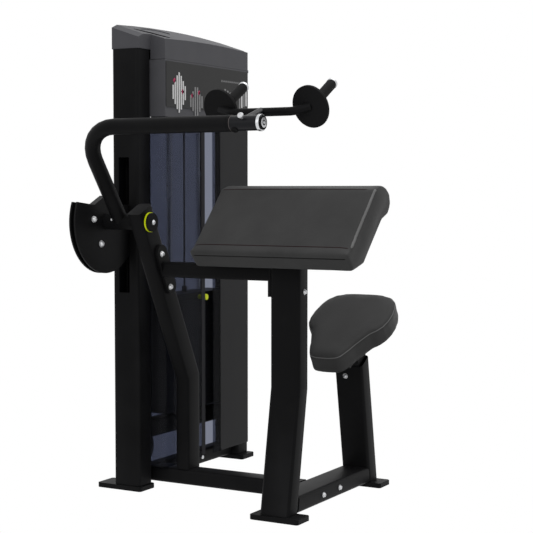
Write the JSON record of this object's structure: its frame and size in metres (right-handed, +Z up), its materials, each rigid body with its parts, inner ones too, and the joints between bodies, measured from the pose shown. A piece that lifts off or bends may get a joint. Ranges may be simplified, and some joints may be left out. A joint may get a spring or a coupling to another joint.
{
  "type": "triceps_press_machine",
  "caption": "Seated triceps press machine: a weight tower with tinted shields, a lever with a cable cam, rotating handles with disc guards and grips, an angled arm pad and a tilted saddle seat.",
  "frame": {"origin": "centre of the bounding box in plan, on the floor", "axes": "+Z up; +X along the tower's width, toward the user's seat; +Y from the seat frame toward the tower"},
  "size_m": [1.0494, 1.003, 1.5287],
  "materials": {
    "frame_paint": "satin powder coat",
    "shroud_plastic": "moulded, fine grain",
    "cover_plastic": "moulded, fine grain",
    "placard_plastic": "printed sheet",
    "tinted_shield": "smoke-tinted clear sheet",
    "plate_paint": "black paint",
    "lime_plastic": "moulded",
    "bright_steel": "plated",
    "black_rubber": "moulded rubber",
    "pulley_plastic": "moulded",
    "cable_jacket": "coated wire rope",
    "pad_vinyl": "upholstery vinyl, fine grain",
    "pad_board": "backing board"
  },
  "bodies": {
    "frame": {"tower_left_column": "frame_paint", "tower_right_column": "frame_paint", "tower_left_foot": "frame_paint", "tower_right_foot": "frame_paint", "tower_base_beam": "frame_paint", "tower_top_beam": "frame_paint", "top_shroud": "shroud_plastic", "shroud_front_panel": "shroud_plastic", "placard": "placard_plastic", "front_left_shield": "tinted_shield", "front_right_shield": "tinted_shield", "right_front_cover": "cover_plastic", "rear_shield": "tinted_shield", "weight_plates": "plate_paint", "rod_head_beam": "frame_paint", "stack_support_beam": "frame_paint", "guide_rod_left": "bright_steel", "guide_rod_right": "bright_steel", "bumper_left": "black_rubber", "bumper_right": "black_rubber", "pulley_bracket_low": "frame_paint", "pulley_bracket_upper_left": "frame_paint", "pulley_bracket_upper_middle": "frame_paint", "cable_route": "cable_jacket", "cable_stack_run": "cable_jacket", "base_beam": "frame_paint", "pivot_strut": "frame_paint", "pivot_shaft": "bright_steel", "bearing_ring": "lime_plastic", "bearing_cap": "black_rubber", "bearing_bolt": "bright_steel", "middle_post": "frame_paint", "middle_foot": "frame_paint", "upper_beam": "frame_paint", "seat_beam": "frame_paint", "seat_post": "frame_paint", "seat_foot": "frame_paint", "seat_pad": "pad_vinyl", "seat_board": "pad_board", "seat_bracket": "frame_paint", "arm_pad": "pad_vinyl", "arm_board": "pad_board"},
    "lever": {"cam": "frame_paint", "cable_cam_end": "cable_jacket", "hub_tube": "frame_paint", "lever_tube": "frame_paint", "spindle_core": "bright_steel", "spindle_ring": "bright_steel", "spindle_cap": "black_rubber"},
    "handle": {"handle_sleeve": "frame_paint", "handle_bar": "frame_paint", "handle_disc_back": "frame_paint", "handle_disc_front": "frame_paint", "grip_back": "black_rubber", "grip_front": "black_rubber"},
    "stack": {"stack_head_plate": "plate_paint"},
    "pin": {"selector_pin": "lime_plastic"},
    "low_pulley": {"pulley_low": "pulley_plastic"},
    "upper_left_pulley": {"pulley_upper_left": "pulley_plastic"},
    "upper_middle_pulley": {"pulley_upper_middle": "pulley_plastic"}
  },
  "joints": [
    {"name": "lever_swing", "type": "hinge", "parent": "frame", "child": "lever", "pos_m": [-0.29875, 0.3865, 0.882], "axis": [0, -1, 0], "range_deg": [0, 95]},
    {"name": "handle_swivel", "type": "hinge", "parent": "lever", "child": "handle", "pos_m": [-0.50075, -0.2375, 1.169], "axis": [0, -1, 0], "range_deg": [-20, 20]},
    {"name": "stack_lift", "type": "slide", "parent": "frame", "child": "stack", "axis": [0, 0, 1], "range_m": [0, 0.275], "deforming": ["cable_stack_run"]},
    {"name": "pin_pull", "type": "slide", "parent": "stack", "child": "pin", "axis": [0, -1, 0], "range_m": [0, 0.08]},
    {"name": "low_pulley_spin", "type": "hinge", "parent": "frame", "child": "low_pulley", "pos_m": [-0.09475, 0.3865, 0.128], "axis": [0, -1, 0], "range_deg": [-335, 5]},
    {"name": "upper_left_pulley_spin", "type": "hinge", "parent": "frame", "child": "upper_left_pulley", "pos_m": [-0.00675, 0.3865, 1.324], "axis": [0, -1, 0], "range_deg": [-5, 448]},
    {"name": "upper_middle_pulley_spin", "type": "hinge", "parent": "frame", "child": "upper_middle_pulley", "pos_m": [0.13325, 0.3865, 1.324], "axis": [0, -1, 0], "range_deg": [-5, 448]}
  ],
  "couplings": [
    {"joint": "stack_lift", "follows": "lever_swing", "m_per_rad": 0.151},
    {"joint": "low_pulley_spin", "follows": "lever_swing", "ratio": -2.8491},
    {"joint": "upper_left_pulley_spin", "follows": "lever_swing", "ratio": 4.3143},
    {"joint": "upper_middle_pulley_spin", "follows": "lever_swing", "ratio": 4.3143}
  ]
}
